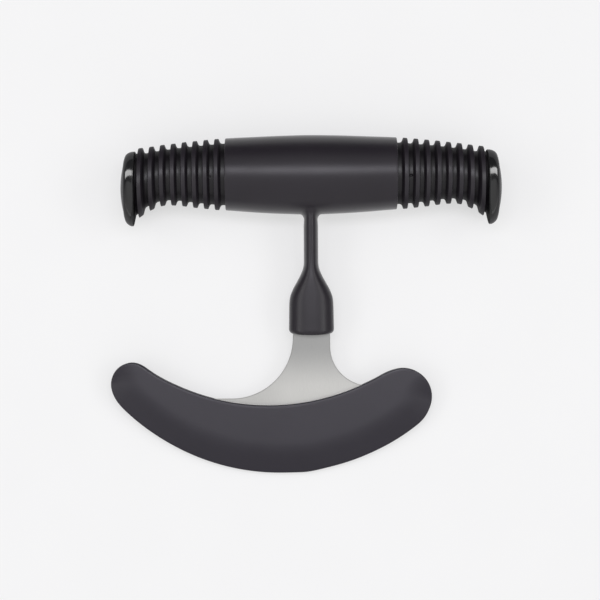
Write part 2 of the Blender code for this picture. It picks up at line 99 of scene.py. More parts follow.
# outer and inner radius of the guard's plate round EDGE_C where it runs into its two tips (deg, mm);
# each table's first line only sets the slope there
TIP_OUT_L = [(219.0, 72.02), (219.5, 72.32), (220.0, 72.61), (221.0, 73.02), (222.0, 73.31), (223.0, 73.50),
             (224.5, 73.60), (227.0, 73.60), (231.0, 73.54), (236.0, 73.44), (242.0, 73.38)]
TIP_IN_L = [(218.0, 60.14), (219.0, 59.55), (220.0, 59.14), (221.0, 58.86), (222.0, 58.62),
            (223.0, 58.39), (224.0, 58.16), (226.0, 57.65), (229.0, 56.88), (232.0, 56.10)]
TIP_OUT_R = [(288.0, 73.38), (294.0, 73.38), (300.0, 73.46), (306.0, 73.51), (309.0, 73.50), (310.0, 73.43),
             (311.0, 73.25), (312.0, 72.94), (313.0, 72.51), (314.0, 71.98), (315.0, 71.33)]
TIP_IN_R = [(299.0, 51.65), (302.0, 51.97), (305.0, 52.37), (308.0, 52.84), (309.0, 52.99), (310.0, 53.16),
            (311.0, 53.38), (312.0, 53.66), (313.0, 54.00), (314.0, 54.43), (315.0, 54.97)]


# ------------------------------------------------------------------ studio
FLOOR_GLOW = 0.56
ROOM_HIGH, ROOM_NEAR, ROOM_FAR = 0.80, 0.76, 0.06
DARK_BAND = 0.25        # what a dark panel each side of the room, below the accents, leaves of its light
# name, middle, up, side, half up, half side, radiance, distance, which pieces it lights
LIGHTS = [
    ("key", (0, 0, 0), 11.0, 0.0, 6.5, 18.0, 6.3, 1000.0, "all but caps and steel"),
    ("steel_key", (0, 0, 0), 11.0, 0.0, 6.5, 18.0, 0.8, 1000.0, "steel"),
    ("side_left", (0, 0, 0), 0.0, -42.0, 24.0, 9.0, 2.1, 700.0, "skin and guard"),
    ("side_right", (0, 0, 0), 0.0, 42.0, 24.0, 9.0, 2.1, 700.0, "skin and guard"),
    ("guard_key", (0, -80, 0), 9.0, 0.0, 6.5, 18.0, 2.9, 1000.0, "guard"),
    ("grip_key", (0, 0, 0), 11.0, 0.0, 6.5, 18.0, 1.6, 1000.0, "sleeves"),
    ("groove_left", (-45, 0, 0), 8.5, 33.0, 5.5, 15.0, 4.2, 600.0, "left sleeve"),
    ("groove_right", (45, 0, 0), 8.5, -33.0, 5.5, 15.0, 4.2, 600.0, "right sleeve"),
    ("fill_left", (-45, 0, 0), -8.0, 42.0, 42.0, 18.0, 0.3, 300.0, "left sleeve"),
    ("fill_right", (45, 0, 0), -8.0, -42.0, 42.0, 18.0, 0.3, 300.0, "right sleeve"),
    ("rib_left", (-45, 0, 0), 0.0, -50.0, 35.0, 25.0, 1.05, 300.0, "left sleeve"),
    ("rib_right", (45, 0, 0), 0.0, 50.0, 35.0, 25.0, 1.05, 300.0, "right sleeve"),
    ("accent_left", (0, 0, 0), 54.0, -36.0, 9.0, 30.0, 7.0, 1500.0, "caps", (0.76, 0.33, 0.56)),
    ("accent_right", (0, 0, 0), 55.5, 35.0, 9.0, 31.0, 7.6, 1500.0, "caps", (0.76, -0.24, -0.60)),
]
ROLL = -0.05
CAMERA_AT = (-3.77, -41.7, 660.0)


# ------------------------------------------------------------------ mesh helpers
def build(name, verts, faces, smooth_deg=30.0, values=None):
    """A closed mesh from points in the drawing plane; values are numbers kept at its points."""
    mesh = bpy.data.meshes.new(name)
    mesh.from_pydata(to_world(verts).tolist(), [], [list(map(int, f)) for f in faces])
    for key, numbers in (values or {}).items():
        mesh.attributes.new(key, 'FLOAT', 'POINT').data.foreach_set("value", numbers)
    bm = bmesh.new()
    bm.from_mesh(mesh)
    bmesh.ops.remove_doubles(bm, verts=bm.verts, dist=1e-7)
    bmesh.ops.recalc_face_normals(bm, faces=bm.faces)
    bm.to_mesh(mesh)
    bm.free()
    mesh.shade_smooth()
    mesh.set_sharp_from_angle(angle=math.radians(smooth_deg))
    obj = bpy.data.objects.new(name, mesh)
    bpy.context.scene.collection.objects.link(obj)
    return obj


class Sheet:
    """Collects vertices and faces."""

    def __init__(self):
        self.v = []
        self.f = []

    def ring(self, points):
        start = len(self.v)
        self.v.extend([tuple(p) for p in points])
        return list(range(start, len(self.v)))

    def bridge(self, a, b, closed=True):
        n = len(a)
        for i in range(n if closed else n - 1):
            j = (i + 1) % n
            self.f.append((a[i], a[j], b[j], b[i]))

    def cap(self, a):
        self.f.append(tuple(a))


def along(table, s, column):
    keys = [row[0] for row in table]
    vals = [row[column] for row in table]
    if keys[0] > keys[-1]:
        keys, vals = keys[::-1], vals[::-1]
    if s <= keys[0]:
        return vals[0]
    if s >= keys[-1]:
        return vals[-1]
    k = 0
    while keys[k + 1] < s:
        k += 1

    def slope(i):
        if i == 0:
            return 0.0
        if i == len(keys) - 1:
            return (vals[i] - vals[i - 1]) / (keys[i] - keys[i - 1])
        return (vals[i + 1] - vals[i - 1]) / (keys[i + 1] - keys[i - 1])

    h = keys[k + 1] - keys[k]
    t = (s - keys[k]) / h
    p0, p1 = vals[k], vals[k + 1]
    m0, m1 = slope(k) * h, slope(k + 1) * h
    return ((2 * t ** 3 - 3 * t ** 2 + 1) * p0 + (t ** 3 - 2 * t ** 2 + t) * m0
            + (-2 * t ** 3 + 3 * t ** 2) * p1 + (t ** 3 - t ** 2) * m1)


def smoother(t):
    t = min(1.0, max(0.0, t))
    return t * t * (3 - 2 * t)


def barrel_r(x):
    return along(BARREL, abs(x), 1) - 0.012


def barrel_mid(x):
    return along(BARREL, abs(x), 2)


def stem_a(y):
    return along(STEM, y, 1)


def stem_b(y):
    return along(STEM_DEPTH, y, 1)


def rounded(points, radii, steps=5):
    """An open polyline with its inner corners turned into arcs."""
    out = [points[0]]
    for i in range(1, len(points) - 1):
        p0, p1, p2 = (np.array(points[k], float) for k in (i - 1, i, i + 1))
        r = radii[i] if isinstance(radii, (list, tuple)) else radii
        u, w = p0 - p1, p2 - p1
        lu, lw = np.linalg.norm(u), np.linalg.norm(w)
        u, w = u / lu, w / lw
        cosang = float(np.clip(np.dot(u, w), -1, 1))
        half = math.acos(cosang) / 2
        if r <= 0 or half > math.radians(89.0):
            out.append(tuple(p1))
            continue
        cut = min(r / math.tan(half), 0.48 * lu, 0.48 * lw)
        r = cut * math.tan(half)
        mid = (u + w) / np.linalg.norm(u + w)
        centre = p1 + mid * (r / math.sin(half))
        a, b = p1 + u * cut - centre, p1 + w * cut - centre
        total = math.acos(float(np.clip(np.dot(a, b) / (r * r), -1, 1)))
        for k in range(steps + 1):
            t = k / steps
            s = (math.sin((1 - t) * total) * a + math.sin(t * total) * b) / math.sin(total)
            out.append(tuple(centre + s))
    out.append(points[-1])
    return out


def arc(cx, cy, r, a0, a1, n):
    return [(cx + r * math.cos(math.radians(a0 + (a1 - a0) * i / n)),
             cy + r * math.sin(math.radians(a0 + (a1 - a0) * i / n))) for i in range(n + 1)]


def ring_x(x, r, mid_y, seg):
    t = 2 * math.pi * np.arange(seg) / seg
    return np.stack((np.full(seg, x), mid_y - r * np.cos(t), r * np.sin(t)), 1)


# ------------------------------------------------------------------ skin: barrel, stem, ferrule
NT = 144               # rows round the barrel
HOLE_ROWS = 18         # rows each side of the bottom that the stem's foot takes
HOLE_X, HOLE_COLS = 7.2, 16
OVAL_POWER = 2.3


def oval_point(a, b, t, grow=0.0):
    c, s = math.cos(t), math.sin(t)
    p = OVAL_POWER
    x = a * math.copysign(abs(c) ** (2 / p), c)
    z = b * math.copysign(abs(s) ** (2 / p), s)
    nx = math.copysign(abs(c) ** (2 - 2 / p), c) / a
    nz = math.copysign(abs(s) ** (2 - 2 / p), s) / b
    n = math.hypot(nx, nz)
    return x + grow * nx / n, z + grow * nz / n


def t_surface(sheet, columns, radius, mid, foot, stem_profile, bow=0.0):
    """A barrel with a stem growing from its underside, as one grid without a seam.

    columns are the barrel's x stations, foot is (half width, half depth, reach, drop) of the
    stem's foot, and stem_profile is a list of (y, half width, half depth) going down.  bow is how
    much the stem's end curves up towards its sides."""
    theta = -math.pi + 2 * math.pi * np.arange(NT) / NT
    j0 = NT // 2 - HOLE_ROWS
    j1 = NT // 2 + HOLE_ROWS
    rows = []
    for x, shrink in columns:
        r, m = radius(x) - shrink, mid(x)
        pts = [(x, m - r * math.cos(t), r * math.sin(t)) for t in theta]
        rows.append(sheet.ring(pts))
    xs = [c[0] for c in columns]
    i0 = min(range(len(xs)), key=lambda i: abs(xs[i] + HOLE_X))
    i1 = min(range(len(xs)), key=lambda i: abs(xs[i] - HOLE_X))
    for i in range(len(rows) - 1):
        for j in range(NT):
            if i0 <= i < i1 and j0 <= j < j1:
                continue
            k = (j + 1) % NT
            sheet.f.append((rows[i][j], rows[i][k], rows[i + 1][k], rows[i + 1][j]))
    # the hole's border, once round
    loop = [(i, j0) for i in range(i0, i1)] + [(i1, j) for j in range(j0, j1)]
    loop += [(i, j1) for i in range(i1, i0, -1)] + [(i0, j) for j in range(j1, j0, -1)]
    border = [rows[i][j] for i, j in loop]
    flat = np.array([(sheet.v[k][0], sheet.v[k][2]) for k in border])
    z_max = np.abs(flat[:, 1]).max()
    ts = np.unwrap(np.arctan2(flat[:, 1] / z_max, flat[:, 0] / HOLE_X))
    a, b, reach, drop = foot

    def on_barrel(x, z):
        return mid(x) - math.sqrt(radius(x) ** 2 - z * z)

    prev = border
    steps = 7
    for k in range(1, steps + 1):
        s = k / steps
        pts = []
        for (bx, bz), t in zip(flat, ts):
            fx, fz = oval_point(a, b, t, reach)
            x, z = bx + (fx - bx) * s, bz + (fz - bz) * s
            pts.append((x, on_barrel(x, z), z))
        cur = sheet.ring(pts)
        sheet.bridge(prev, cur)
        prev = cur
    steps = 9
    for k in range(1, steps + 1):
        psi = math.pi / 2 * k / steps
        pts = []
        for t in ts:
            x, z = oval_point(a, b, t, reach * (1 - math.sin(psi)))
            pts.append((x, on_barrel(x, z) - drop * (1 - math.cos(psi)), z))
        cur = sheet.ring(pts)
        sheet.bridge(prev, cur)
        prev = cur
    for y, sa, sb in stem_profile:
        pts = []
        for t in ts:
            x, z = oval_point(sa, sb, t)
            lift = bow * (x / 7.4) ** 2 * smoother((-42.0 - y) / 9.0)
            pts.append((x, y + lift, z))
        cur = sheet.ring(pts)
        sheet.bridge(prev, cur)
        prev = cur
    return rows, prev, ts


def set_handle(points):
    """The handle as it sits in its guard: leaning a little, round a point in the guard."""
    k = math.tan(HANDLE_LEAN)
    return [(x - k * (y + 41.7) + HANDLE_DX * smoother((abs(x) - 18.0) / 10.0), y + k * (x + 3.77), z)
            for x, y, z in points]


FERRULE_BOW = 0.62      # how far the ferrule's end curves up towards its sides


def skin_piece():
    sheet = Sheet()
    inner_cols = list(np.linspace(-HOLE_X, HOLE_X, HOLE_COLS + 1))
    side = list(np.linspace(HOLE_X, SKIN_END - 0.28, 27))[1:]
    edge = [(SKIN_END - 0.28 + 0.28 * math.sin(a), 0.28 * (1 - math.cos(a)))
            for a in (math.radians(d) for d in (18, 36, 54, 72, 90))]
    cols = [(x, 0.0) for x in inner_cols + side] + edge
    cols = [(-x, d) for x, d in reversed(cols) if x > HOLE_X + 1e-6] + cols
    profile = []
    lip = 1.4
    for y in np.arange(-17.0, FERRULE_END + lip + 0.2, -0.4):
        profile.append((y, stem_a(y), stem_b(y)))
    a_end = stem_a(FERRULE_END + lip)
    for d in (0, 12, 24, 36, 48, 60, 70, 80, 90):
        psi = math.radians(d)
        k = lip * (1.0 - math.cos(psi))
        profile.append((FERRULE_END + lip - lip * math.sin(psi), a_end - k, stem_b(FERRULE_END) - 0.7 * k))
    rows, mouth, ts = t_surface(sheet, cols, barrel_r, barrel_mid, (2.27, stem_b(-15.5), 1.3, 1.9), profile, FERRULE_BOW)

    # hollow inside, for the core
    inner_cols2 = [(x, 0.0) for x, _ in cols]
    wall = 0.9
    profile2 = [(y, stem_a(y) - wall, stem_b(y) - wall) for y in np.arange(-17.0, FERRULE_END + 1.0, -1.2)]
    profile2.append((FERRULE_END + 0.95, stem_a(FERRULE_END + 1.0) - wall, stem_b(FERRULE_END) - wall))
    rows2, mouth2, ts2 = t_surface(sheet, inner_cols2, lambda x: CORE_R, lambda x: 0.0,
                                   (2.27 - wall, stem_b(-15.5) - wall, 0.4, 0.6), profile2)
    sheet.bridge(rows[0], rows2[0])
    sheet.bridge(rows[-1], rows2[-1])

    # the slot that the tang comes out of
    def slot_ring(y):
        pts = []
        for t in ts:
            c, s = math.cos(t), math.sin(t)
            k = max(abs(c), abs(s))
            pts.append((4.8 * c / k, y + FERRULE_BOW * (4.8 * c / k / 7.4) ** 2, 0.95 * s / k))
        return sheet.ring(pts)

    low, high = slot_ring(FERRULE_END), slot_ring(FERRULE_END + 0.95)
    sheet.bridge(mouth, low)
    sheet.bridge(low, high)
    sheet.bridge(high, mouth2)
    return build("barrel_skin", set_handle(sheet.v), sheet.f, 35.0)


# ------------------------------------------------------------------ ribbed sleeves
PIP_X, PIP_Y, PIP_R, PIP_DEPTH = {-1: 33.6, 1: 32.8}, -1.35, 0.60, 0.35
HANDLE_DX = 0.18        # the barrel's ends sit this far right of the stem's middle
HANDLE_LEAN = math.radians(0.33)     # the handle against the guard, in their plane


def sleeve_piece(name, side):
    pip_x = PIP_X[side]

    def depth(x):
        return RIB_DEPTH + max(0.0, x - 49.0) * 0.04

    keys = [(SLEEVE_IN, depth(SLEEVE_IN))]
    radii = [0.0]
    for k in range(RIB_COUNT):
        c = RIB_FIRST + k * RIB_PITCH
        keys += [(c - RIB_CREST / 2 - RIB_RUN_IN, depth(c)), (c - RIB_CREST / 2, 0.0),
                 (c + RIB_CREST / 2, 0.0), (c + RIB_CREST / 2 + RIB_RUN_OUT, depth(c))]
        radii += [1.15, 0.26, 0.22, 0.15]
    keys[-1] = (keys[-1][0], 1.62)
    keys += [(SLEEVE_OUT - 0.8, 1.62), (SLEEVE_OUT, 1.62)]
    radii += [0.0, 0.0]
    outline = rounded(keys, radii, 6)
    dense = []
    for (x0, d0), (x1, d1) in zip(outline, outline[1:]):
        dense.append((x0, d0))
        if x0 < pip_x < x1 or (abs(x0 - pip_x) < 1.0 and x1 - x0 > 0.2):
            n = 10
            dense += [(x0 + (x1 - x0) * k / n, d0 + (d1 - d0) * k / n) for k in range(1, n)]
    outline = dense + [outline[-1]]
    seg = 160
    angles = list(2 * math.pi * np.arange(seg) / seg)
    front = math.acos(-PIP_Y / (barrel_r(pip_x) - RIB_DEPTH))
    angles += [front + d for d in np.linspace(-0.075, 0.075, 13)]
    angles = sorted(a for i, a in enumerate(angles) if i >= seg or abs(a - front) > 0.082)

    def ring(x, r, mid, dimple=False, neck=0.0):
        pts = []
        for t in angles:
            rr = r - neck * abs(math.sin(t)) ** 1.5
            if dimple:
                d = math.hypot(x - pip_x, (t - front) * r) / PIP_R
                if d < 1.0:
                    rr = r - PIP_DEPTH * smoother(1.35 * (1.0 - d))
            pts.append((side * x, mid - rr * math.cos(t), rr * math.sin(t)))
        return pts

    sheet = Sheet()
    rings, groove = [], []
    for x, drop in outline:
        # how deep each ring lies in its groove, kept for the painted shade of the groove bottoms
        groove += [min(1.0, drop / depth(x))] * len(angles)
        # the neck behind the cap is deeper in front and behind
        neck = 2.6 * smoother((x - SLEEVE_OUT + 1.15) / 0.35)
        rings.append(sheet.ring(ring(x, barrel_r(x) - drop, barrel_mid(x), abs(x - pip_x) < PIP_R, neck)))
    for x in (SLEEVE_OUT, SLEEVE_IN):
        groove += [1.0] * len(angles)
        rings.append(sheet.ring(ring(x, CORE_END_R, 0.0)))
    for a, b in zip(rings, rings[1:] + rings[:1]):
        sheet.bridge(a, b)
    return build(name, set_handle(sheet.v), sheet.f, 40.0, {"groove": groove})


# ------------------------------------------------------------------ end caps
def cap_piece(name, side):
    """Rim band, rounded shoulder and shallow dome; behind it the snap plug on the barrel's axis."""
    sheet = Sheet()
    seg = 160
    outline = []
    # plug, from its far end to the cap's back
    for x, r in ((49.5, 3.1), (50.0, 3.6), (50.7, 3.9), (57.9, 3.9), (58.5, 4.0)):
        outline.append((x, r, 0.0))
    for s in (0.25, 0.5, 0.75, 1.0):
        outline.append((CAP_IN, 4.0 + (12.20 - 4.0) * s, CAP_MID_Y * s))
    for d in (30, 60, 90):
        a = math.radians(d)
        outline.append((CAP_IN + 0.25 * (1 - math.cos(a)), 12.20 + 0.25 * math.sin(a), CAP_MID_Y))
    shoulder = [(58.75, 12.45), (59.3, 12.42), (59.8, 12.34), (60.3, 12.20), (60.8, 11.98), (61.2, 11.70),
                (61.5, 11.38), (61.75, 10.98), (61.93, 10.52), (62.03, 10.15), (62.12, 9.80)]
    for k in range(1, 31):
        t = k / 30 * (len(shoulder) - 1)
        i = min(int(t), len(shoulder) - 2)
        f = t - i
        p = [np.array(shoulder[min(max(j, 0), len(shoulder) - 1)]) for j in (i - 1, i, i + 1, i + 2)]
        q = 0.5 * (2 * p[1] + (p[2] - p[0]) * f + (2 * p[0] - 5 * p[1] + 4 * p[2] - p[3]) * f * f
                   + (3 * p[1] - p[0] - 3 * p[2] + p[3]) * f ** 3)
        outline.append((q[0], q[1], CAP_MID_Y))
    for k in range(1, 12):
        r = 9.80 * (1 - k / 12)
        outline.append((CAP_OUT - r * r / 64.8, r, CAP_MID_Y))
    rings = []
    for x, r, m in outline:
        # the back leans outwards towards the cap's lower edge
        share = smoother((r - 4.0) / 8.2) if x < 58.51 else smoother((61.2 - x) / 2.7)
        lean = [0.78 * smoother((-6.5 - y) / 10.1) for _, y, _ in ring_x(0.0, r, m, seg)]
        rings.append(sheet.ring([(side * (x + share * d), y, z)
                                 for d, (_, y, z) in zip(lean, ring_x(side * x, r, m, seg))]))
    for a, b in zip(rings, rings[1:]):
        sheet.bridge(a, b)
    sheet.cap(rings[0])
    tip = len(sheet.v)
    sheet.v.append((side * CAP_OUT, CAP_MID_Y, 0.0))
    last = rings[-1]
    for i in range(seg):
        sheet.f.append((last[i], last[(i + 1) % seg], tip))
    inner = {i for ring, (x, r, m) in zip(rings, outline) if x <= CAP_IN + 0.01 for i in ring}
    back = [1.0 if i in inner else 0.0 for i in range(len(sheet.v))]
    return build(name, set_handle(sheet.v), sheet.f, 40.0, {"back": back})


# ------------------------------------------------------------------ blade
def blade_piece():
    spine_l = FLARE_L[1] - FLARE_L[2]
    spine_r = FLARE_R[1] - FLARE_R[2]
    tip_dx, tip_dy = TIP_R[0] - EDGE_C[0], TIP_R[1] - EDGE_C[1]
    tip_r = EDGE_R - math.hypot(tip_dx, tip_dy)
    tip_deg = math.degrees(math.atan2(tip_dy, tip_dx))

    def edge_angle(r, y):
        return 180.0 + math.degrees(math.asin((EDGE_C[1] - y) / r))

    half_t, half_e, soft = BLADE_T / 2, EDGE_T / 2, 0.26
    n_arc, n_tip = 150, 24
    small = tip_r - GRIND
    tip_end = math.degrees(math.asin((spine_r - TIP_R[1]) / tip_r))
    outer = arc(*EDGE_C, EDGE_R, edge_angle(EDGE_R, spine_l), 360 + tip_deg, n_arc)
    inner = arc(*EDGE_C, EDGE_R - GRIND, edge_angle(EDGE_R - GRIND, spine_l), 360 + tip_deg, n_arc)
    outer += arc(*TIP_R, tip_r, tip_deg, tip_end, n_tip)[1:]
    inner += arc(*TIP_R, small, tip_deg, 0.0, n_tip)[1:-1] + [(TIP_R[0] + small, spine_r)]
    def neck_top(x):
        return FERRULE_END + FERRULE_BOW * (x / 7.4) ** 2 - 0.005

    shoulder = [(x, neck_top(x)) for x in (-6.12, -TANG_HALF, TANG_HALF, 6.22)]

    back = list(reversed(arc(FLARE_L[0], FLARE_L[1], FLARE_L[2], -2.0, -90.0, 60)))
    root_l = len(back) + 1
    back += shoulder
    back += arc(FLARE_R[0], FLARE_R[1], FLARE_R[2], 180.0, 270.0, 50)
    tang = [(TANG_HALF, TANG_TOP - 0.6), (TANG_HALF - 0.6, TANG_TOP), (-TANG_HALF + 0.6, TANG_TOP),
            (-TANG_HALF, TANG_TOP - 0.6)]

    # the outline of everything but the cutting edge, and the same line moved in for the eased corner
    rim = [inner[0]] + back[:root_l + 1] + tang[::-1] + back[root_l + 1:] + [inner[-1]]
    rim_a = np.array(rim)
    seg = rim_a[1:] - rim_a[:-1]
    seg /= np.linalg.norm(seg, axis=1)[:, None]
    nrm = np.stack((seg[:, 1], -seg[:, 0]), 1)      # to the right of travel: into the blade
    moved = []
    for i in range(len(rim)):
        n0 = nrm[max(0, i - 1)]
        n1 = nrm[min(len(nrm) - 1, i)]
        m = n0 + n1
        m /= max(1e-9, np.dot(m, m) / 2)
        if i in (0, len(rim) - 1):
            m = np.array((0.0, -1.0))
        if rim[i] in shoulder:      # not eased where it butts against the ferrule
            m = np.array((m[0], 0.0))
        moved.append(tuple(rim_a[i] + m * soft))
    sheet = Sheet()

    def layer(points, z):
        return sheet.ring([(x, y, z) for x, y in points])

    n_rim = len(rim)
    levels = [(half_t, 1.0), (half_t - 0.05, 0.45), (half_t - 0.20, 0.0)]
    top_rings = []
    for z, k in levels:
        pts = [tuple(np.array(r) + (np.array(m) - np.array(r)) * k) for r, m in zip(rim, moved)]
        top_rings.append((pts, z))
    rings_top = [layer(pts, z) for pts, z in top_rings]
    rings_bot = [layer(pts, -z) for pts, z in top_rings]
    chain = rings_top + rings_bot[::-1]
    for a, b in zip(chain, chain[1:]):
        sheet.bridge(a, b, closed=False)

    def flat(ring, pts, edge_pts, z):
        """Fills the flat of one side between the ground bevel and the moved-in rim."""
        low = [ring[0]] + layer(edge_pts[1:-1], z) + [ring[-1]]
        low_xy = [pts[0]] + edge_pts[1:-1] + [pts[-1]]
        tang_i = [root_l + 1 + k for k in range(6)]     # root, four tang points, root
        high_idx = [k for k in range(1, n_rim - 1) if k not in tang_i[1:-1]]
        high = [ring[k] for k in high_idx]
        high_xy = [pts[k] for k in high_idx]
        b, b_xy = [low[0]] + high + [low[-1]], [low_xy[0]] + high_xy + [low_xy[-1]]
        i = j = 0
        while i < len(low) - 1 or j < len(b) - 1:
            step = i < len(low) - 1 and (j == len(b) - 1 or low_xy[i + 1][0] <= b_xy[j + 1][0])
            tri = (low[i], low[i + 1], b[j]) if step else (low[i], b[j + 1], b[j])
            if len(set(tri)) == 3:
                sheet.f.append(tri)
            if step:
                i += 1
            else:
                j += 1
        sheet.cap([ring[k] for k in tang_i])
        return low

    low_top = flat(rings_top[0], top_rings[0][0], inner, half_t)
    low_bot = flat(rings_bot[0], top_rings[0][0], inner, -half_t)
    out_top, out_bot = layer(outer, half_e), layer(outer, -half_e)
    sheet.bridge(low_top, out_top, closed=False)
    sheet.bridge(low_bot, out_bot, closed=False)
    sheet.bridge(out_top, out_bot, closed=False)
    sheet.cap([r[0] for r in chain] + [out_bot[0], out_top[0]])
    sheet.cap([r[-1] for r in chain] + [out_bot[-1], out_top[-1]])
    return build("steel_blade", sheet.v, sheet.f, 12.0)


# ------------------------------------------------------------------ guard
def tip_polar(tip):
    dx, dy = tip[0] - EDGE_C[0], tip[1] - EDGE_C[1]
    return math.hypot(dx, dy), math.atan2(dy, dx) % (2 * math.pi)


D_L, PHI_L = tip_polar(GUARD_TIP_L)
D_R, PHI_R = tip_polar(GUARD_TIP_R)
END_L = PHI_L - math.asin(GUARD_TIP_L[2] / D_L)
END_R = PHI_R + math.asin(GUARD_TIP_R[2] / D_R)


def guard_span(phi):
    """Inner and outer radius of the plate at the angle phi round EDGE_C."""
    deg = math.degrees(phi)
    u = (math.cos(phi), math.sin(phi))
    w = (EDGE_C[0] - GUARD_IN_C[0], EDGE_C[1] - GUARD_IN_C[1])
    wu = w[0] * u[0] + w[1] * u[1]
    r_in = -wu + math.sqrt(wu * wu - (w[0] ** 2 + w[1] ** 2) + GUARD_IN_R ** 2)
    r_out = GUARD_R + 0.28 * math.exp(-((deg - 277.5) / 3.5) ** 2)
    for d, p, r, sign, outs, ins in ((D_L, PHI_L, GUARD_TIP_L[2], -1, TIP_OUT_L, TIP_IN_L),
                                     (D_R, PHI_R, GUARD_TIP_R[2], 1, TIP_OUT_R, TIP_IN_R)):
        def circle(f, way):
            root = math.sqrt(max(0.0, r * r - (d * math.sin(f - p)) ** 2)) if abs(f - p) < 0.3 else 0.0
            return d * math.cos(f - p) + way * root

        end = math.degrees(END_L if sign < 0 else END_R)
        for table, way, inner in ((outs, 1, False), (ins, -1, True)):
            first, last = table[1][0], table[-1][0]
            join = first if sign < 0 else last
            if first <= deg <= last:
                v = along(table, deg, 1)
            elif (deg < first if sign < 0 else deg > last):
                # the tip's circle, eased so that it meets the table where that begins
                off = along(table, join, 1) - circle(math.radians(join), way)
                v = circle(phi, way) + off * smoother((deg - end) / (join - end))
            else:
                continue
            if inner:
                r_in = v
            else:
                r_out = v
    return min(r_in, r_out), r_out


def taper_drop(d):
    """How much thinner the guard is at distance d from its outer edge; the crease is soft."""
    k = 2.6
    t = TAPER_W - d
    if t <= -k:
        f = 0.0
    elif t >= k:
        f = t
    else:
        f = (t + k) ** 2 / (4 * k)
    return f * math.tan(math.radians(TAPER_DEG))


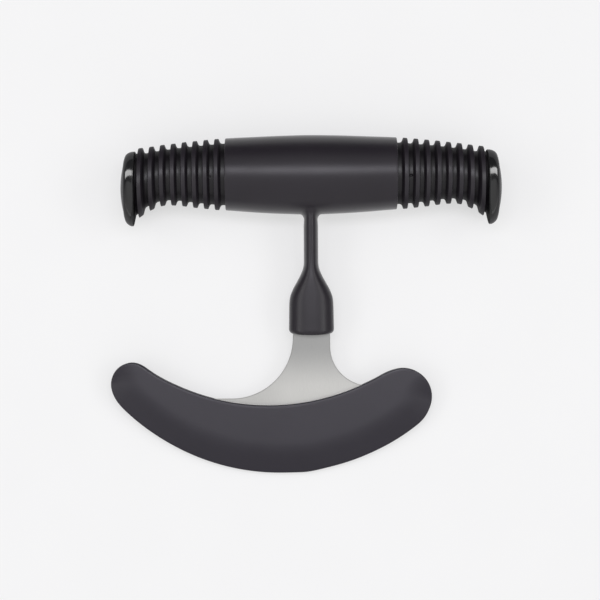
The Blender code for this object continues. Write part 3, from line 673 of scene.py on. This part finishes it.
def guard_piece():
    ease = 0.38
    phis = []
    n_tip, n_mid = 30, 200
    for i in range(1, n_tip):
        phis.append(PHI_L + (END_L - PHI_L) * math.cos(math.pi / 2 * i / n_tip))
    for i in range(n_mid + 1):
        phis.append(PHI_L + (PHI_R - PHI_L) * i / n_mid)
    for i in range(n_tip - 1, 0, -1):
        phis.append(PHI_R + (END_R - PHI_R) * math.cos(math.pi / 2 * i / n_tip))

    spans = [guard_span(phi) for phi in phis]
    ends = []
    for end_phi, d, p in ((END_L, D_L, PHI_L), (END_R, D_R, PHI_R)):
        r_end = d * math.cos(end_phi - p)
        ends.append((EDGE_C[0] + r_end * math.cos(end_phi), EDGE_C[1] + r_end * math.sin(end_phi)))

    def at(phi, rho):
        return EDGE_C[0] + rho * math.cos(phi), EDGE_C[1] + rho * math.sin(phi)

    outer_line = [ends[0]] + [at(f, o) for f, (i, o) in zip(phis, spans)] + [ends[1]]
    inner_line = [ends[0]] + [at(f, i) for f, (i, o) in zip(phis, spans)] + [ends[1]]
    fade = 18
    taper_line = outer_line[fade:-fade]       # the taper dies out round the tips

    def distance(points, line):
        a = np.array(line)
        p = np.asarray(points)
        best = np.full(len(p), 1e9)
        for q0, q1 in zip(a, a[1:]):
            e = q1 - q0
            t = np.clip(((p - q0) @ e) / (e @ e), 0, 1)
            best = np.minimum(best, np.linalg.norm(p - (q0 + t[:, None] * e), axis=1))
        return best

    fine = [ease * (1 - math.cos(math.radians(a))) for a in (0, 18, 36, 54, 72, 90)]
    grid = []
    for phi, (r_in, r_out) in zip(phis, spans):
        wide = r_out - r_in
        edge = [f * min(1.0, wide / 4) for f in fine]
        mid = np.linspace(edge[-1], wide - edge[-1], 26)[1:-1]
        marks = edge + list(mid) + [wide - f for f in reversed(edge)]
        grid += [at(phi, r_in + m) for m in marks]
    n_v = len(grid) // len(phis)
    d_taper = distance(grid, taper_line)
    d_edge = np.minimum(distance(grid, outer_line), distance(grid, inner_line))
    height = []
    for d, e in zip(d_taper, d_edge):
        h = GUARD_T / 2 - taper_drop(d)
        if e < ease:
            h -= ease - math.sqrt(max(0.0, ease * ease - (ease - e) ** 2))
        height.append(h)
    sheet = Sheet()
    tops, bots = [], []
    for i in range(len(phis)):
        part = [(x, y, h) for (x, y), h in zip(grid[i * n_v:(i + 1) * n_v], height[i * n_v:(i + 1) * n_v])]
        tops.append(sheet.ring(part))
        bots.append(sheet.ring([(x, y, -h) for x, y, h in part]))
    for i in range(len(phis) - 1):
        sheet.bridge(tops[i], tops[i + 1], closed=False)
        sheet.bridge(bots[i], bots[i + 1], closed=False)
        for k in (0, n_v - 1):
            sheet.f.append((tops[i][k], tops[i + 1][k], bots[i + 1][k], bots[i][k]))
    for row, (x, y) in ((0, ends[0]), (-1, ends[1])):
        h = GUARD_T / 2 - taper_drop(distance([(x, y)], taper_line)[0]) - ease
        t, b = len(sheet.v), len(sheet.v) + 1
        sheet.v += [(x, y, h), (x, y, -h)]
        for k in range(n_v - 1):
            sheet.f.append((tops[row][k], tops[row][k + 1], t))
            sheet.f.append((bots[row][k], bots[row][k + 1], b))
        for k in (0, n_v - 1):
            sheet.f.append((tops[row][k], t, b, bots[row][k]))
    guard = build("guard_shell", sheet.v, sheet.f, 30.0)

    # the slot: the blade's outline with clearance, carried on upwards
    tip_dx, tip_dy = TIP_R[0] - EDGE_C[0], TIP_R[1] - EDGE_C[1]
    tip_r = EDGE_R - math.hypot(tip_dx, tip_dy)
    tip_deg = math.degrees(math.atan2(tip_dy, tip_dx))
    slot_r = EDGE_R + 0.6
    left_x, right_x = -62.0, TIP_R[0] + tip_r + 0.6
    left_deg = 180.0 + math.degrees(math.acos((EDGE_C[0] - left_x) / slot_r))
    outline = [(left_x, -50.0)] + arc(*EDGE_C, slot_r, left_deg, 360 + tip_deg, 120)
    outline += arc(*TIP_R, tip_r + 0.6, tip_deg, 0.0, 20)[1:] + [(right_x, -50.0)]
    cut = Sheet()
    hs = GUARD_SLOT / 2
    lo = cut.ring([(x, y, -hs) for x, y in outline])
    hi = cut.ring([(x, y, hs) for x, y in outline])
    cut.bridge(lo, hi)
    cut.cap(lo)
    cut.cap(hi)
    tool = build("guard_slot", cut.v, cut.f)
    mod = guard.modifiers.new("slot", 'BOOLEAN')
    mod.operation, mod.solver, mod.object = 'DIFFERENCE', 'EXACT', tool
    bpy.context.view_layer.update()
    done = bpy.data.meshes.new_from_object(guard.evaluated_get(bpy.context.evaluated_depsgraph_get()))
    guard.modifiers.clear()
    guard.data = done
    bpy.data.objects.remove(tool, do_unlink=True)
    guard.data.shade_smooth()
    guard.data.set_sharp_from_angle(angle=math.radians(30.0))
    return guard


# ------------------------------------------------------------------ materials
class Nodes:
    def __init__(self, name):
        self.mat = bpy.data.materials.new(name)
        self.mat.use_nodes = True
        self.tree = self.mat.node_tree
        self.tree.nodes.clear()
        self.out = self.tree.nodes.new("ShaderNodeOutputMaterial")
        self.bsdf = self.tree.nodes.new("ShaderNodeBsdfPrincipled")
        self.link(self.bsdf.outputs[0], self.out.inputs["Surface"])
        self.coord = self.tree.nodes.new("ShaderNodeTexCoord")

    def link(self, a, b):
        self.tree.links.new(a, b)

    def node(self, kind, **props):
        n = self.tree.nodes.new(kind)
        for k, v in props.items():
            setattr(n, k, v)
        return n

    def mapping(self, scale, rotation=(0, 0, 0)):
        m = self.node("ShaderNodeMapping")
        m.inputs["Scale"].default_value = scale
        m.inputs["Rotation"].default_value = rotation
        self.link(self.coord.outputs["Object"], m.inputs["Vector"])
        return m.outputs["Vector"]

    def noise(self, vector, scale, detail=3.0, rough=0.5):
        n = self.node("ShaderNodeTexNoise")
        n.inputs["Scale"].default_value = scale
        n.inputs["Detail"].default_value = detail
        n.inputs["Roughness"].default_value = rough
        self.link(vector, n.inputs["Vector"])
        return n.outputs["Fac"]

    def remap(self, value, lo, hi, a=0.3, b=0.7):
        m = self.node("ShaderNodeMapRange")
        m.inputs["From Min"].default_value = a
        m.inputs["From Max"].default_value = b
        m.inputs["To Min"].default_value = lo
        m.inputs["To Max"].default_value = hi
        self.link(value, m.inputs["Value"])
        return m.outputs["Result"]

    def mix(self, fac, a, b):
        m = self.node("ShaderNodeMix", data_type='RGBA')
        self.link(fac, m.inputs["Factor"])
        m.inputs["A"].default_value = (*a, 1)
        m.inputs["B"].default_value = (*b, 1)
        return m.outputs["Result"]

    def bump(self, height, strength, distance, normal=None):
        b = self.node("ShaderNodeBump")
        b.inputs["Strength"].default_value = strength
        b.inputs["Distance"].default_value = distance
        self.link(height, b.inputs["Height"])
        if normal is not None:
            self.link(normal, b.inputs["Normal"])
        return b.outputs["Normal"]


def soft_black(name, dark, light, rough, spec=0.5, grain=0.00003, groove=None):
    """Soft moulded plastic: near black, satin, with the fine grain of an eroded mould.  groove
    is how much darker the bottom of a groove is painted than the crests: painted shade in the hollows."""
    n = Nodes(name)
    v = n.mapping((1, 1, 1))
    tone = n.noise(v, 60.0, 4.0)
    colour = n.mix(n.remap(tone, 0, 1), dark, light)
    if groove is not None:
        # painted shade: the base colour darkens towards the bottom of each groove, by how deep the point lies
        deep = n.node("ShaderNodeAttribute", attribute_name="groove")
        shade = n.node("ShaderNodeVectorMath", operation='SCALE')
        n.link(colour, shade.inputs[0])
        n.link(n.remap(deep.outputs["Fac"], 1.0, groove, 0.1, 0.9), shade.inputs["Scale"])
        colour = shade.outputs[0]
    n.link(colour, n.bsdf.inputs["Base Color"])
    n.bsdf.inputs["Specular IOR Level"].default_value = spec
    patch = n.noise(v, 140.0, 3.0)
    n.link(n.remap(patch, rough - 0.02, rough + 0.02), n.bsdf.inputs["Roughness"])
    fine = n.noise(v, 3200.0, 2.0)
    n.link(n.bump(fine, 0.35, grain), n.bsdf.inputs["Normal"])
    # a dusty bloom that shows where the surface turns away
    n.bsdf.inputs["Sheen Weight"].default_value = 0.25 if groove is None else 0.05
    n.bsdf.inputs["Sheen Roughness"].default_value = 0.3
    return n.mat


def gloss_black(name):
    n = Nodes(name)
    v = n.mapping((1, 1, 1))
    tone = n.noise(v, 80.0, 3.0)
    n.link(n.mix(n.remap(tone, 0, 1), (0.0045, 0.0045, 0.0052), (0.0075, 0.0075, 0.0083)), n.bsdf.inputs["Base Color"])
    n.bsdf.inputs["Specular IOR Level"].default_value = 0.66
    # gloss in front, as moulded on the back and the plug
    smear = n.noise(n.mapping((1, 3, 1)), 90.0, 5.0)
    back = n.node("ShaderNodeAttribute", attribute_name="back")
    dull = n.node("ShaderNodeMath", operation='MAXIMUM')
    n.link(n.remap(smear, 0.10, 0.16), dull.inputs[0])
    n.link(n.remap(back.outputs["Fac"], 0.0, 0.75, 0.0, 1.0), dull.inputs[1])
    n.link(dull.outputs[0], n.bsdf.inputs["Roughness"])
    wave = n.noise(v, 220.0, 1.0)
    n.link(n.bump(wave, 0.15, 0.00002), n.bsdf.inputs["Normal"])
    return n.mat


def satin_steel(name):
    """Fine-ground stainless steel: hair lines up and down the blade, a faint cloudiness, and
    painted shade that darkens the steel towards the neck, under the ferrule."""
    n = Nodes(name)
    lines = n.noise(n.mapping((900, 22, 900)), 6.0, 6.0, 0.6)
    cloud = n.noise(n.mapping((1, 1, 1)), 70.0, 3.0)
    place = n.node("ShaderNodeSeparateXYZ")
    n.link(n.coord.outputs["Object"], place.inputs[0])
    # painted shade under the ferrule: darker from the part below the neck (y -29 mm) up to the neck (y -13.5 mm)
    down = n.node("ShaderNodeMapRange", interpolation_type='SMOOTHSTEP')
    down.inputs["From Min"].default_value = -0.0290
    down.inputs["From Max"].default_value = -0.0135
    n.link(place.outputs["Y"], down.inputs["Value"])
    base = n.mix(down.outputs["Result"], STEEL_LOW, STEEL_NECK_SHADE)
    grain = n.node("ShaderNodeMath", operation='MULTIPLY')
    n.link(n.remap(lines, 0.965, 1.035), grain.inputs[0])
    n.link(n.remap(cloud, 0.98, 1.02), grain.inputs[1])
    # a touch darker out along the left flare
    out = n.node("ShaderNodeMapRange", interpolation_type='SMOOTHSTEP')
    for key, value in (("From Min", -0.017), ("From Max", -0.005), ("To Min", 0.87), ("To Max", 1.0)):
        out.inputs[key].default_value = value
    n.link(place.outputs["X"], out.inputs["Value"])
    dull = n.node("ShaderNodeMath", operation='MULTIPLY')
    n.link(grain.outputs[0], dull.inputs[0])
    n.link(out.outputs["Result"], dull.inputs[1])
    tint = n.node("ShaderNodeVectorMath", operation='SCALE')
    n.link(base, tint.inputs[0])
    n.link(dull.outputs[0], tint.inputs["Scale"])
    n.link(tint.outputs[0], n.bsdf.inputs["Base Color"])
    n.bsdf.inputs["Metallic"].default_value = 1.0
    n.link(n.remap(lines, 0.36, 0.43), n.bsdf.inputs["Roughness"])
    n.link(n.bump(lines, 0.08, 0.000006), n.bsdf.inputs["Normal"])
    return n.mat


def guard_black(name):
    n = Nodes(name)
    v = n.mapping((1, 1, 1))
    tone = n.noise(v, 45.0, 4.0)
    n.link(n.mix(n.remap(tone, 0, 1), (0.0094, 0.0071, 0.0130), (0.0110, 0.0087, 0.0148)), n.bsdf.inputs["Base Color"])
    n.bsdf.inputs["Specular IOR Level"].default_value = 0.385
    patch = n.noise(v, 110.0, 3.0)
    n.link(n.remap(patch, 0.36, 0.42), n.bsdf.inputs["Roughness"])
    fine = n.noise(v, 2400.0, 2.0)
    n.link(n.bump(fine, 0.3, 0.00003), n.bsdf.inputs["Normal"])
    return n.mat


# the steel's colour below the neck, and the darker colour at the neck that paints the ferrule's shade
STEEL_LOW, STEEL_NECK_SHADE = (0.735, 0.729, 0.707), (0.446, 0.446, 0.439)
M_SKIN = soft_black("soft_skin", (0.0138, 0.0112, 0.0154), (0.0160, 0.0132, 0.0178), 0.34, 0.36)
# the grip's groove bottoms are painted down to 0.40 of the crests' colour: painted shade
M_SLEEVE = soft_black("ribbed_grip", (0.0122, 0.0098, 0.0134), (0.0142, 0.0116, 0.0156), 0.35, 0.36, groove=0.40)
M_CAP = gloss_black("gloss_cap")
M_STEEL = satin_steel("steel")
M_GUARD = guard_black("guard")
M_CORE = soft_black("core", (0.026, 0.026, 0.028), (0.034, 0.034, 0.036), 0.5)
M_PIN = satin_steel("pin")


def finish_piece(obj, mat, body, node):
    obj.data.materials.clear()
    obj.data.materials.append(mat)
    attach(obj, body)
    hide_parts(node)
    return obj


# ------------------------------------------------------------------ pieces
finish_piece(skin_piece(), M_SKIN, "knife", "handle_skin")
sleeve_left = finish_piece(sleeve_piece("ribbed_sleeve_left", -1), M_SLEEVE, "knife", "grip_sleeve_left")
sleeve_right = finish_piece(sleeve_piece("ribbed_sleeve_right", 1), M_SLEEVE, "knife", "grip_sleeve_right")
cap_left = finish_piece(cap_piece("domed_cap_left", -1), M_CAP, "knife", "end_cap_left")
cap_right = finish_piece(cap_piece("domed_cap_right", 1), M_CAP, "knife", "end_cap_right")
steel = finish_piece(blade_piece(), M_STEEL, "knife", "blade")
guard = finish_piece(guard_piece(), M_GUARD, "guard", "blade_guard")
for node, mat in (("handle_core", M_CORE), ("tang_pin_upper", M_PIN), ("tang_pin_lower", M_PIN)):
    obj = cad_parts[node]
    for slot in obj.material_slots:
        slot.material = mat
    if not obj.material_slots:
        obj.data.materials.append(mat)

# ------------------------------------------------------------------ floor
bm = bmesh.new()
bmesh.ops.create_grid(bm, x_segments=8, y_segments=8, size=4.0)
mesh = bpy.data.meshes.new("floor")
bm.to_mesh(mesh)
bm.free()
floor = bpy.data.objects.new("floor", mesh)
bpy.context.scene.collection.objects.link(floor)
nf = Nodes("floor_paper")
nf.link(nf.mix(nf.remap(nf.noise(nf.mapping((1, 1, 1)), 30.0), 0, 1), (0.320, 0.320, 0.320), (0.328, 0.328, 0.328)),
        nf.bsdf.inputs["Base Color"])
nf.bsdf.inputs["Roughness"].default_value = 0.9
nf.bsdf.inputs["Specular IOR Level"].default_value = 0.1
nf.bsdf.inputs["Emission Color"].default_value = (1, 1, 1, 1)
nf.bsdf.inputs["Emission Strength"].default_value = FLOOR_GLOW
mesh.materials.append(nf.mat)

# a dark cloth on the floor beyond the picture, so that the far floor isn't mirrored in the plastic
mesh = bpy.data.meshes.new("cloth")
mesh.from_pydata([(-1.5, 0.25, 0.001), (1.5, 0.25, 0.001), (1.5, 2.0, 0.001), (-1.5, 2.0, 0.001)], [], [(0, 1, 2, 3)])
cloth = bpy.data.objects.new("cloth", mesh)
bpy.context.scene.collection.objects.link(cloth)
nc = Nodes("cloth_black")
nc.link(nc.mix(nc.remap(nc.noise(nc.mapping((1, 1, 1)), 40.0), 0, 1), (0.016, 0.016, 0.016), (0.022, 0.022, 0.022)),
        nc.bsdf.inputs["Base Color"])
nc.bsdf.inputs["Roughness"].default_value = 0.95
nc.bsdf.inputs["Specular IOR Level"].default_value = 0.1
mesh.materials.append(nc.mat)
cloth.visible_camera = False
cloth.visible_diffuse = False
cloth.visible_shadow = False

# a glowing sheet on the near floor, which only the caps mirror
mesh = bpy.data.meshes.new("glow_sheet")
mesh.from_pydata([(x, y, 0.0004) for x0, x1 in ((-0.8, -0.05), (0.05, 0.8))
                  for x, y in ((x0, -0.9), (x1, -0.9), (x1, 0.015), (x0, 0.015))], [], [(0, 1, 2, 3), (4, 5, 6, 7)])
glow = bpy.data.objects.new("glow_sheet", mesh)
bpy.context.scene.collection.objects.link(glow)
ng = Nodes("glow_sheet")
ng.link(ng.mix(ng.remap(ng.noise(ng.mapping((1, 1, 1)), 40.0), 0, 1), (0.30, 0.30, 0.30), (0.32, 0.32, 0.32)),
        ng.bsdf.inputs["Base Color"])
ng.bsdf.inputs["Roughness"].default_value = 0.9
ng.bsdf.inputs["Specular IOR Level"].default_value = 0.1
ng.bsdf.inputs["Emission Color"].default_value = (1, 1, 1, 1)
# dimmer next to the handle
ng_place = ng.node("ShaderNodeSeparateXYZ")
ng.link(ng.coord.outputs["Object"], ng_place.inputs[0])
ng_near = ng.node("ShaderNodeMapRange", interpolation_type='SMOOTHSTEP')
for key, value in (("From Min", -0.070), ("From Max", -0.050), ("To Min", 0.8), ("To Max", 0.14)):
    ng_near.inputs[key].default_value = value
ng.link(ng_place.outputs["Y"], ng_near.inputs["Value"])
ng.link(ng_near.outputs["Result"], ng.bsdf.inputs["Emission Strength"])
mesh.materials.append(ng.mat)
glow.visible_camera = False
glow.visible_diffuse = False
glow.visible_shadow = False

# a pale studio wall all round, seen only directly: it lights and mirrors nothing
bm = bmesh.new()
bmesh.ops.create_uvsphere(bm, u_segments=64, v_segments=32, radius=3.7)
mesh = bpy.data.meshes.new("backdrop")
bm.to_mesh(mesh)
bm.free()
backdrop = bpy.data.objects.new("backdrop", mesh)
bpy.context.scene.collection.objects.link(backdrop)
nb = Nodes("backdrop_paper")
nb_place = nb.node("ShaderNodeSeparateXYZ")
nb.link(nb.coord.outputs["Object"], nb_place.inputs[0])
nb_up = nb.node("ShaderNodeMapRange", interpolation_type='SMOOTHSTEP')
for key, value in (("From Min", -0.2), ("From Max", 2.6), ("To Min", 0.87), ("To Max", 0.76)):
    nb_up.inputs[key].default_value = value
nb.link(nb_place.outputs["Z"], nb_up.inputs["Value"])
nb_cloud = nb.node("ShaderNodeMath", operation='MULTIPLY')
nb.link(nb_up.outputs["Result"], nb_cloud.inputs[0])
nb.link(nb.remap(nb.noise(nb.mapping((1, 1, 1)), 1.5), 0.99, 1.01), nb_cloud.inputs[1])
nb.link(nb_cloud.outputs[0], nb.bsdf.inputs["Emission Strength"])
nb.bsdf.inputs["Emission Color"].default_value = (1, 1, 1, 1)
nb.bsdf.inputs["Base Color"].default_value = (0.005, 0.005, 0.005, 1)
nb.bsdf.inputs["Roughness"].default_value = 1.0
nb.bsdf.inputs["Specular IOR Level"].default_value = 0.0
if hasattr(nb.mat, "cycles"):
    nb.mat.cycles.emission_sampling = 'NONE'
mesh.materials.append(nb.mat)
backdrop.visible_diffuse = False
backdrop.visible_glossy = False
backdrop.visible_transmission = False
backdrop.visible_volume_scatter = False
backdrop.visible_shadow = False

# ------------------------------------------------------------------ light
# A pale room that is darker beyond the barrel, and softboxes placed round the object.
world = bpy.data.worlds.new("studio")
bpy.context.scene.world = world
world.use_nodes = True
wt = world.node_tree
w_coord = wt.nodes.new("ShaderNodeTexCoord")


def w_along(axis, kind, lo, hi, a, b):
    """A value from a to b as the direction's part along the axis goes from lo to hi."""
    dot = wt.nodes.new("ShaderNodeVectorMath")
    dot.operation = 'DOT_PRODUCT'
    dot.inputs[1].default_value = tuple(axis)
    wt.links.new(w_coord.outputs["Generated"], dot.inputs[0])
    m = wt.nodes.new("ShaderNodeMapRange")
    m.interpolation_type = kind
    m.inputs["From Min"].default_value = lo
    m.inputs["From Max"].default_value = hi
    m.inputs["To Min"].default_value = a
    m.inputs["To Max"].default_value = b
    wt.links.new(dot.outputs["Value"], m.inputs["Value"])
    return m.outputs["Result"]


horizon = w_along(ROT[:, 1], 'LINEAR', -0.7, 0.9, ROOM_NEAR, ROOM_FAR)
height = w_along(ROT[:, 2], 'SMOOTHSTEP', 0.30, 0.84, 0.0, 1.0)
w_mix = wt.nodes.new("ShaderNodeMix")
wt.links.new(height, w_mix.inputs[0])
wt.links.new(horizon, w_mix.inputs[2])
w_mix.inputs[3].default_value = ROOM_HIGH
wt.nodes["Background"].inputs["Color"].default_value = (1.0, 1.0, 1.0, 1)


def w_math(kind, a, b):
    m = wt.nodes.new("ShaderNodeMath")
    m.operation = kind
    for socket, value in ((m.inputs[0], a), (m.inputs[1], b)):
        if isinstance(value, float):
            socket.default_value = value
        else:
            wt.links.new(value, socket)
    return m.outputs[0]


# a dark panel each side
strength = w_mix.outputs[0]
for side in (-1, 1):
    across = ROT @ np.array((side * 0.41, -0.685, 0.60))
    band = w_math('MULTIPLY', w_along(across, 'SMOOTHSTEP', 0.19, 0.26, 0.0, 1.0),
                  w_along(across, 'SMOOTHSTEP', 0.42, 0.50, 1.0, 0.0))
    band = w_math('MULTIPLY', band, w_along(ROT[:, 0] * side, 'SMOOTHSTEP', 0.10, 0.20, 0.0, 1.0))
    strength = w_math('MULTIPLY', strength, w_math('SUBTRACT', 1.0, w_math('MULTIPLY', band, 1.0 - DARK_BAND)))
wt.links.new(strength, wt.nodes["Background"].inputs["Strength"])


def softbox(name, middle, up, side, half_up, half_side, radiance, dist, kind, width_axis=(1, 0, 0)):
    """A softbox as a point of the object sees it: so many degrees up (+y) and sideways (+x) of the
    blade plane's normal, its half height and half width in degrees, how bright it looks, which
    pieces it lights, and which way its width runs."""
    a, b = math.radians(up), math.radians(side)
    at = (middle[0] + dist * math.sin(b), middle[1] + dist * math.sin(a) * math.cos(b),
          middle[2] + dist * math.cos(a) * math.cos(b))
    data = bpy.data.lights.new(name, 'AREA')
    data.shape = 'RECTANGLE'
    data.size = 2 * dist * math.tan(math.radians(half_side)) * MM
    data.size_y = 2 * dist * math.tan(math.radians(half_up)) * MM
    data.energy = radiance * math.pi * data.size * data.size_y
    if name.endswith("key"):
        data.color = (1.0, 0.985, 1.07)
    obj = bpy.data.objects.new(name, data)
    bpy.context.scene.collection.objects.link(obj)
    p, q = Vector(to_world([at])[0]), Vector(to_world([middle])[0])
    z = (p - q).normalized()
    x = Vector((ROT @ np.array(width_axis)).tolist())
    y = z.cross(x).normalized()
    x = y.cross(z).normalized()
    m = Matrix((x, y, z)).transposed().to_4x4()
    m.translation = p
    obj.matrix_world = m
    obj.light_linking.receiver_collection = FLAGS[kind]
    return obj


# black flags keep each light off the pieces it isn't for
caps, left, right = [cap_left, cap_right], [sleeve_left], [sleeve_right]
FLAGS = {"all but caps and steel": ('EXCLUDE', caps + [steel]), "steel": ('INCLUDE', [steel]),
         "all but grips": ('EXCLUDE', caps + left + right),
         "skin and guard": ('EXCLUDE', caps + left + right + [steel]),
         "caps": ('INCLUDE', caps), "guard": ('INCLUDE', [guard]), "sleeves": ('INCLUDE', left + right),
         "left sleeve": ('INCLUDE', left), "right sleeve": ('INCLUDE', right)}
for kind, (state, pieces) in FLAGS.items():
    group = bpy.data.collections.new(kind.replace(" ", "_"))
    for obj in pieces:
        group.objects.link(obj)
    for entry in group.collection_objects:
        entry.light_linking.link_state = state
    FLAGS[kind] = group
for spec in LIGHTS:
    softbox(*spec)
floor.light_linking.receiver_collection = FLAGS["all but grips"]
glow.light_linking.receiver_collection = FLAGS["caps"]

# ------------------------------------------------------------------ camera
cam_data = bpy.data.cameras.new("camera")
cam_data.sensor_fit = 'HORIZONTAL'
cam_data.sensor_width = 36.0
cam_data.lens = 118.8
cam_data.clip_start, cam_data.clip_end = 0.01, 20.0
cam = bpy.data.objects.new("camera", cam_data)
bpy.context.scene.collection.objects.link(cam)
cam.matrix_world = (plane_matrix() @ Matrix.Translation([c * MM for c in CAMERA_AT])
                    @ Matrix.Rotation(math.radians(ROLL), 4, 'Z'))
bpy.context.scene.camera = cam
bpy.context.scene.view_settings.view_transform = 'Standard'
bpy.context.scene.view_settings.look = 'None'

# ------------------------------------------------------------------ update
bpy.context.view_layer.update()
